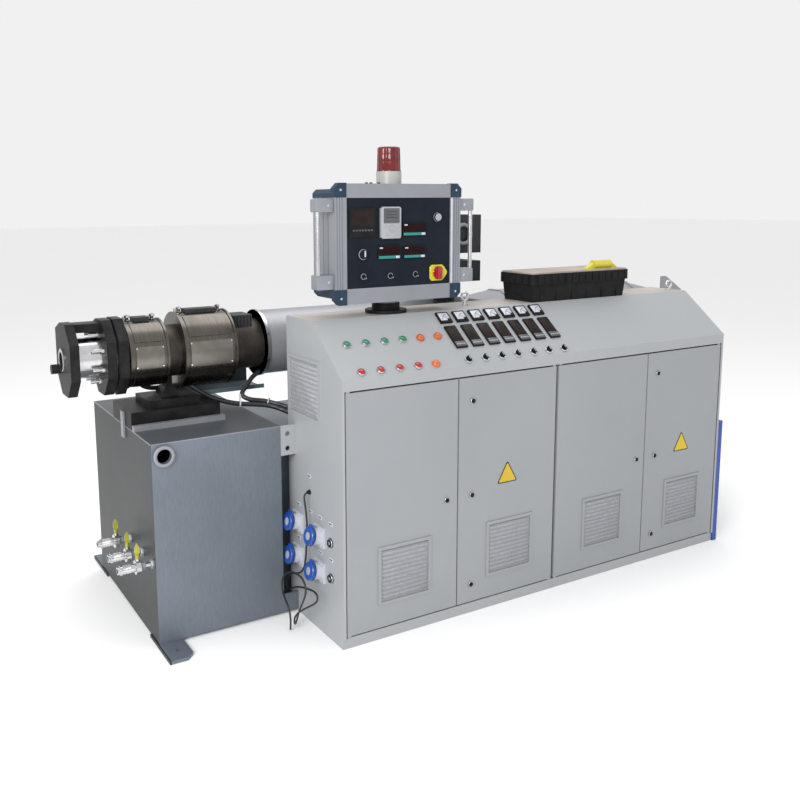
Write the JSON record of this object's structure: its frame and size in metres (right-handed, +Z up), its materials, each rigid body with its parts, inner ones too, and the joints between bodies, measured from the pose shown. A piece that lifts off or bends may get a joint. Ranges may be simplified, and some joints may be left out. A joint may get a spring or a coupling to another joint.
{
  "type": "plastic extruder",
  "caption": "Plastic extruder: long control cabinet with hinged doors and sloped console, swivelling control box, heated barrel on a welded base, covered drive behind.",
  "frame": {"origin": "on the floor under the middle of the cabinet's plinth", "axes": "+X along the machine from the barrel's head to the drive, +Y from the cabinet's doors to the drive behind it, +Z up"},
  "size_m": [3.048, 1.233, 1.691],
  "materials": {
    "cabinet_paint": "satin light grey",
    "door_paint": "satin light grey",
    "frame_paint": "satin grey",
    "base_paint": "metallic silver grey",
    "dark_paint": "matt black",
    "cover_paint": "grey",
    "black_steel": "blackened",
    "stainless": "brushed",
    "bare_steel": "heat darkened",
    "chrome": "bright",
    "aluminium": "anodised",
    "black_plastic": "matt black",
    "slate_plastic": "dark slate blue",
    "panel_foil": "dark blue black",
    "white_plastic": "white",
    "blue_plastic": "blue",
    "green_plastic": "green",
    "red_plastic": "red",
    "orange_plastic": "orange",
    "yellow_plastic": "yellow",
    "olive_paint": "olive yellow",
    "lid_brown": "dusty brown",
    "red_lens": "red lens",
    "cord_rubber": "black",
    "conduit_grey": "dark grey, ribbed",
    "tray_paint": "teal grey",
    "strip_blue": "blue"
  },
  "bodies": {
    "machine": {"back_and_top": "cabinet_paint", "barrel": "bare_steel", "barrel_shroud": "cover_paint", "barrel_support": "black_steel", "barrel_terminals": "dark_paint", "base_feet": "base_paint", "button_bezels": "chrome", "cabinet_floor": "cabinet_paint", "case_body": "black_plastic", "case_lid": "lid_brown", "clamp_flange": "black_steel", "conduits": "conduit_grey", "console_panel": "cabinet_paint", "cord_gland": "black_plastic", "door_pivots": "chrome", "drip_tray": "tray_paint", "drive_cover": "cover_paint", "end_strip": "strip_blue", "eye_bolts": "chrome", "feeder": "dark_paint", "front_frame": "frame_paint", "green_buttons": "green_plastic", "head_adapter": "chrome", "head_flange": "black_steel", "heater_bands": "stainless", "lid_grip": "yellow_plastic", "machine_base": "base_paint", "orange_lamps": "orange_plastic", "panel_meters": "white_plastic", "red_buttons": "red_plastic", "rotary_knobs": "black_plastic", "side_cord": "cord_rubber", "side_panels": "cabinet_paint", "slide_rail": "chrome", "socket_bodies": "white_plastic", "socket_caps": "blue_plastic", "swivel_pedestal": "dark_paint", "temperature_controllers": "black_plastic", "valve_bodies": "chrome"},
    "door_1": {"door_1": "door_paint", "door_1_locks": "black_plastic"},
    "door_2": {"door_2": "door_paint", "door_2_locks": "black_plastic"},
    "door_3": {"door_3": "door_paint", "door_3_locks": "black_plastic"},
    "door_4": {"door_4": "door_paint", "door_4_locks": "black_plastic"},
    "control_box": {"control_box_shell": "aluminium", "control_box_corners": "slate_plastic", "control_panel": "panel_foil", "control_box_handles": "aluminium", "panel_instruments": "black_plastic", "beacon_base": "aluminium", "beacon_lens": "red_lens", "main_switch_plate": "yellow_plastic"},
    "main_switch": {"main_switch_knob": "red_plastic"},
    "valve_lever_1": {"valve_lever_1": "olive_paint"},
    "valve_lever_2": {"valve_lever_2": "olive_paint"},
    "valve_lever_3": {"valve_lever_3": "olive_paint"}
  },
  "joints": [
    {"name": "door_1_hinge", "type": "hinge", "parent": "machine", "child": "door_1", "pos_m": [-0.916, -0.1925, 0.045], "axis": [0, 0, -1], "range_deg": [0, 110]},
    {"name": "door_2_hinge", "type": "hinge", "parent": "machine", "child": "door_2", "pos_m": [-0.02296, -0.1925, 0.045], "axis": [0, 0, 1], "range_deg": [0, 85]},
    {"name": "door_3_hinge", "type": "hinge", "parent": "machine", "child": "door_3", "pos_m": [0.00904, -0.1925, 0.045], "axis": [0, 0, -1], "range_deg": [0, 85]},
    {"name": "door_4_hinge", "type": "hinge", "parent": "machine", "child": "door_4", "pos_m": [0.916, -0.1925, 0.045], "axis": [0, 0, 1], "range_deg": [0, 110]},
    {"name": "control_box_swivel", "type": "hinge", "parent": "machine", "child": "control_box", "pos_m": [-0.59, 0.0885, 1.136], "axis": [0, 0, 1], "range_deg": [-60, 60]},
    {"name": "main_switch_turn", "type": "hinge", "parent": "control_box", "child": "main_switch", "pos_m": [-0.43, -0.0055, 1.243], "axis": [0, -1, 0], "range_deg": [0, 90]},
    {"name": "valve_1_turn", "type": "hinge", "parent": "machine", "child": "valve_lever_1", "pos_m": [-1.525, 0.1675, 0.323], "axis": [0, 0, 1], "range_deg": [0, 90]},
    {"name": "valve_2_turn", "type": "hinge", "parent": "machine", "child": "valve_lever_2", "pos_m": [-1.525, 0.2875, 0.323], "axis": [0, 0, 1], "range_deg": [0, 90]},
    {"name": "valve_3_turn", "type": "hinge", "parent": "machine", "child": "valve_lever_3", "pos_m": [-1.525, 0.4355, 0.323], "axis": [0, 0, 1], "range_deg": [0, 90]}
  ]
}
